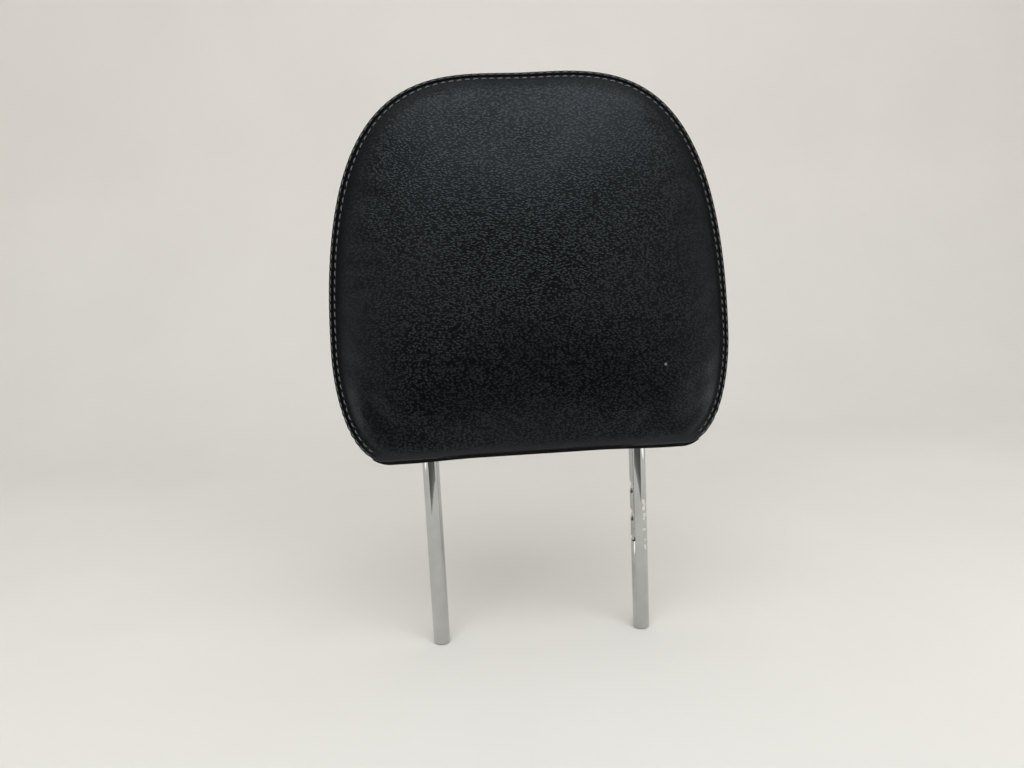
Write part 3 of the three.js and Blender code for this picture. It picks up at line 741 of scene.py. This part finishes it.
strip, tree, shader, where = new_material("hem_plastic")
die_marks = add_node(tree, "ShaderNodeTexNoise", Vector=where, Scale=300, Detail=3)
tree.links.new(
    ramp(tree, die_marks.outputs["Fac"], (0.3, (0.02, 0.02, 0.021)), (0.7, (0.028, 0.028, 0.03))),
    shader.inputs["Base Color"],
)
tree.links.new(ramp(tree, die_marks.outputs["Fac"], (0.3, 0.4), (0.7, 0.55)), shader.inputs["Roughness"])
for name in ("front_hem_strip", "rear_hem_strip"):
    finish_node(name, strip)


# The stitches. Two rows of thick light grey thread run beside the seam, one on the face
# panel and one on the gusset. Each stitch lies proud of the leather between two needle
# holes and dives into them at its ends.

stitch_length = 4.1
thread_radius = 0.36
first_stitch_height = 152

bpy.ops.object.select_all(action="DESELECT")
bpy.ops.mesh.primitive_cylinder_add(vertices=8, radius=1, depth=1, rotation=(0, math.pi / 2, 0))
one_stitch = bpy.context.object
bpy.ops.object.transform_apply(location=True, rotation=True, scale=True)
bpy.ops.object.mode_set(mode="EDIT")
for cut in (-0.4, -0.2, 0, 0.2, 0.4):
    bpy.ops.mesh.select_all(action="SELECT")
    bpy.ops.mesh.bisect(plane_co=(cut, 0, 0), plane_no=(1, 0, 0))
bpy.ops.object.mode_set(mode="OBJECT")
stitch_shape = np.array([vertex.co for vertex in one_stitch.data.vertices])


def sew_row(name, row_distance, proud):
    """One row of stitches at a distance from the seam: towards the face where it is positive."""
    row = np.argmin(np.abs(seam_distance[0] - row_distance))
    copies = []
    for i in range(stitch_count):
        here = 4 * i + 2
        if ring[here, 1] < first_stitch_height:
            continue
        # a fixed scatter from minus a half to plus a half, so that no two stitches are alike
        uneven = math.sin(i * 12.9898) * 43758.5453 % 1 - 0.5
        up = cushion_facing[here, row]
        forward = cushion_places[(here + 2) % ring_count, row] - cushion_places[here - 2, row]
        forward = forward / np.linalg.norm(forward)
        aside = np.cross(up, forward)
        slant = 0.10 + 0.16 * uneven
        forward = forward * math.cos(slant) + aside * math.sin(slant)
        aside = np.cross(up, forward)
        end = np.abs(2 * stitch_shape[:, 0])
        taper = (1 - 0.5 * end ** 4)[:, None]
        lift = (proud + 0.06 * uneven - 0.95 * end ** 3)[:, None]
        placed = (
            cushion_places[here, row]
            + forward * (stitch_shape[:, :1] * (stitch_length + 0.4 * uneven))
            + aside * (stitch_shape[:, 1:2] * thread_radius * taper)
            + up * (stitch_shape[:, 2:] * thread_radius * 0.85 * taper + lift)
        )
        copy = one_stitch.copy()
        copy.data = one_stitch.data.copy()
        bpy.context.collection.objects.link(copy)
        copy.data.vertices.foreach_set("co", (placed / 1000).ravel())
        copies.append(copy)
    bpy.ops.object.select_all(action="DESELECT")
    for copy in copies:
        copy.select_set(True)
    bpy.context.view_layer.objects.active = copies[0]
    bpy.ops.object.join()
    stitches = bpy.context.object
    stitches.name = name
    bpy.ops.object.mode_set(mode="EDIT")
    bpy.ops.mesh.select_all(action="SELECT")
    bpy.ops.mesh.normals_make_consistent(inside=False)
    bpy.ops.object.mode_set(mode="OBJECT")
    bpy.ops.object.shade_smooth()
    return stitches


thread, tree, shader, where = new_material("grey_thread")
strands = add_node(tree, "ShaderNodeTexNoise", Vector=where, Scale=1500, Detail=4, Roughness=0.7)
tree.links.new(
    ramp(tree, strands.outputs["Fac"], (0.3, (0.07, 0.07, 0.067)), (0.7, (0.17, 0.17, 0.16))),
    shader.inputs["Base Color"],
)
shader.inputs["Roughness"].default_value = 0.75
emboss(tree, shader, 0.6, 0.0002, strands.outputs["Fac"])

# each row with its distance from the seam and how far it stands proud
stitch_rows = (("stitches_on_face", 2.0, 0.02), ("stitches_on_gusset", -1.6, 0.30))
for name, row_distance, proud in stitch_rows:
    stitches = sew_row(name, row_distance, proud)
    stitches.data.materials.clear()
    stitches.data.materials.append(thread)
    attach(stitches, "root")
bpy.data.objects.remove(one_stitch)


# The base cover. A black moulded plate closes the cushion from below. Its lip shows under
# the leather, the posts pass through its two holes, and inside two walls with beads hold
# the hem strips. It is screwed up into the carrier.

# the lip stands back under the leather and hangs a little lower towards its corners
lip_set_back = 2.0
lip_drop = 2.2
lip_sag = 1.2
plate_top = 148.5
lip_places = form_places - lip_set_back * form_facing
lip_places[..., 2] -= lip_drop + lip_sag * sagging(form_places[..., 0])
base_cover = make_form("moulded_base_cover", lip_places)
cut_at_hem(base_cover, plate_top, 0, keep_above=False)

# the walls and bosses inside keep the form that they have in the frame
walls_from = 0.1475
inside = nodes["base_cover"].copy()
inside.data = nodes["base_cover"].data.copy()
bpy.context.collection.objects.link(inside)
select_points(inside, np.ones(len(inside.data.vertices), bool))
bpy.ops.mesh.remove_doubles(threshold=1e-6)
bpy.ops.mesh.bisect(plane_co=(0, 0, walls_from), plane_no=(0, 0, 1), clear_inner=True, use_fill=True)
bpy.ops.object.mode_set(mode="OBJECT")
cut_away(base_cover, inside, "UNION")


def drill(x, y, radius, bottom, top):
    """Cuts a round hole up through the base cover."""
    bpy.ops.object.select_all(action="DESELECT")
    bpy.ops.mesh.primitive_cylinder_add(
        vertices=64, radius=radius, depth=top - bottom, location=(x, y, (bottom + top) / 2)
    )
    hole = bpy.context.object
    bpy.ops.object.transform_apply(location=True, rotation=True, scale=True)
    cut_away(base_cover, hole)


below_plate = 0.14
above_plate = 0.16
post_hole_radius = 0.0064
screw_x = 0.035
screw_y = -0.008
shank_radius = 0.00205
head_radius = 0.0039
head_seat = 0.1482
for mirror in (-1, 1):
    drill(mirror * leg_x, 0, post_hole_radius, below_plate, above_plate)
    drill(mirror * screw_x, screw_y, shank_radius, below_plate, above_plate)
    drill(mirror * screw_x, screw_y, head_radius, below_plate, head_seat)
round_edges(base_cover, 0.0004, sharper_than=50, smooth_under=35)

dull, tree, shader, where = new_material("dull_moulded_plastic")
speckle = add_node(tree, "ShaderNodeTexNoise", Vector=where, Scale=1500, Detail=3, Roughness=0.6)
wear = add_node(tree, "ShaderNodeTexNoise", Vector=where, Scale=22, Detail=4)
tree.links.new(
    ramp(tree, wear.outputs["Fac"], (0.35, (0.0008, 0.0008, 0.0008)), (0.75, (0.0018, 0.0018, 0.0017))),
    shader.inputs["Base Color"],
)
tree.links.new(ramp(tree, speckle.outputs["Fac"], (0.3, 0.6), (0.7, 0.78)), shader.inputs["Roughness"])
shader.inputs["Specular IOR Level"].default_value = 0.1
emboss(tree, shader, 0.3, 0.0001, speckle.outputs["Fac"])
base_cover.data.materials.clear()
base_cover.data.materials.append(dull)
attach(base_cover, "root")
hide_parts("base_cover")


# The stage. A pale painted floor bends up into a wall behind the headrest, and a lamp as large
# as a window lights it from the front. Two strip lamps and a black card show in reflections
# alone, in place of the room that the chrome and the leather would mirror.

floor_size = 6
wall_height = 3
wall_distance = 1.1
cove_width = 0.5
near_back_edge = floor_size / 2 - 0.1
bpy.ops.object.select_all(action="DESELECT")
bpy.ops.mesh.primitive_plane_add(size=floor_size, location=(0, 0, 0))
floor = bpy.context.object
floor.name = "floor"
bpy.ops.object.mode_set(mode="EDIT")
bpy.ops.mesh.select_mode(type="EDGE")
bpy.ops.object.mode_set(mode="OBJECT")
for edge in floor.data.edges:
    ends = [floor.data.vertices[i].co.y for i in edge.vertices]
    edge.select = min(ends) > near_back_edge
bpy.ops.object.mode_set(mode="EDIT")
bpy.ops.mesh.extrude_edges_move(TRANSFORM_OT_translate={"value": (0, 0, wall_height)})
bpy.ops.object.mode_set(mode="OBJECT")
for vertex in floor.data.vertices:
    if vertex.co.y > near_back_edge:
        vertex.co.y = wall_distance
cove = floor.modifiers.new("cove", "BEVEL")
cove.width = cove_width
cove.segments = 16
bpy.ops.object.modifier_apply(modifier=cove.name)
bpy.ops.object.shade_smooth()

paint, tree, shader, where = new_material("pale_paint")
mottle = add_node(tree, "ShaderNodeTexNoise", Vector=where, Scale=4, Detail=4).outputs["Fac"]
height = add_node(tree, "ShaderNodeSeparateXYZ", Vector=where).outputs["Z"]
wall_paint = ramp(tree, mottle, (0.3, (0.80, 0.785, 0.755)), (0.7, (0.83, 0.815, 0.785)))
floor_paint = ramp(tree, mottle, (0.3, (0.72, 0.71, 0.685)), (0.7, (0.75, 0.74, 0.715)))
up_the_cove = ramp(tree, height, (0.01, 0.0), (0.4, 1.0))
tree.links.new(mixed(tree, up_the_cove, floor_paint, wall_paint), shader.inputs["Base Color"])
shader.inputs["Roughness"].default_value = 0.85
floor.data.materials.append(paint)


def add_softbox(name, place, aim, width, height, watts):
    """A soft rectangular lamp that looks at a point."""
    lamp = bpy.data.lights.new(name, "AREA")
    lamp.shape = "RECTANGLE"
    lamp.size = width
    lamp.size_y = height
    lamp.energy = watts
    holder = bpy.data.objects.new(name, lamp)
    bpy.context.collection.objects.link(holder)
    holder.rotation_euler = (Vector(aim) - Vector(place)).to_track_quat("-Z", "Y").to_euler()
    holder.location = place
    return holder


add_softbox("window", place=(0.1, -1.09, 1.41), aim=(0, -0.03, 0.35), width=2.1, height=1.56, watts=23.5)
strip_away = 0.43
for name, strip_x in (("strip_left", -strip_away), ("strip_right", strip_away)):
    strip_lamp = add_softbox(
        name, place=(strip_x, -0.12, 0.05), aim=(0, 0, 0.05), width=0.25, height=0.09, watts=0.09
    )
    strip_lamp.visible_camera = False
    strip_lamp.visible_diffuse = False

# the card lies on the floor in front, paler at its near edge: it gives the chrome its dark
# stripe and the lower part of the face its darker tone
card_near_edge = 0.26
card_lift = 0.001
card_growth = 11
card_side_slope = 1.1
bpy.ops.object.select_all(action="DESELECT")
bpy.ops.mesh.primitive_circle_add(
    vertices=96, radius=card_near_edge, fill_type="NOTHING", location=(0, 0, card_lift)
)
card = bpy.context.object
card.name = "black_card"
bpy.ops.object.mode_set(mode="EDIT")
bpy.ops.mesh.select_all(action="SELECT")
bpy.ops.mesh.extrude_edges_move(TRANSFORM_OT_translate={"value": (0, 0, 0)})
bpy.ops.transform.resize(value=(card_growth, card_growth, 1), center_override=(0, 0, card_lift))
for mirror in (-1, 1):
    bpy.ops.mesh.select_all(action="SELECT")
    bpy.ops.mesh.bisect(plane_co=(0, 0, 0), plane_no=(mirror, card_side_slope, 0), clear_outer=True)
bpy.ops.object.mode_set(mode="OBJECT")
bpy.ops.object.transform_apply(location=True, rotation=True, scale=True)
card.visible_camera = False
card.visible_diffuse = False
card.visible_shadow = False
felt, tree, shader, where = new_material("black_felt")
nap = add_node(tree, "ShaderNodeTexNoise", Vector=where, Scale=900).outputs["Fac"]
from_posts = add_node(tree, "ShaderNodeVectorMath", {"operation": "LENGTH"}, _0=where).outputs["Value"]
faded = maths(tree, "ADD", from_posts, maths(tree, "MULTIPLY", nap, 0.01))
tree.links.new(
    ramp(tree, faded, (card_near_edge, 0.24), (0.32, 0.05), (0.40, 0.008)),
    shader.inputs["Base Color"],
)
card.data.materials.append(felt)

# the room's own light is pale overhead and behind, and dark towards the floor in front
world = bpy.data.worlds.new("studio")
bpy.context.scene.world = world
world.use_nodes = True
tree = world.node_tree
toward = add_node(tree, "ShaderNodeTexCoord").outputs["Generated"]
higher = add_node(
    tree, "ShaderNodeVectorMath", {"operation": "DOT_PRODUCT"}, _0=toward, _1=(0, 0.5, 0.6)
).outputs["Value"]
tree.links.new(
    ramp(
        tree, maths(tree, "ADD", higher, 0.5),
        (0.28, (0.03, 0.03, 0.03)), (0.52, (0.24, 0.237, 0.232)), (1.0, (1.0, 0.99, 0.97)),
    ),
    tree.nodes["Background"].inputs["Color"],
)

# the camera's lens, place and turn are fitted to the posts and the outline of the cushion
camera_data = bpy.data.cameras.new("camera")
camera = bpy.data.objects.new("camera", camera_data)
bpy.context.collection.objects.link(camera)
camera_data.lens = 29.11
camera_data.sensor_width = 36
camera.location = (-0.053259, -0.581516, 0.281161)
camera.rotation_euler = Euler([math.radians(degrees) for degrees in (81.14, 2.73, -4.3)])
bpy.context.scene.camera = camera
bpy.context.scene.view_settings.view_transform = "Standard"
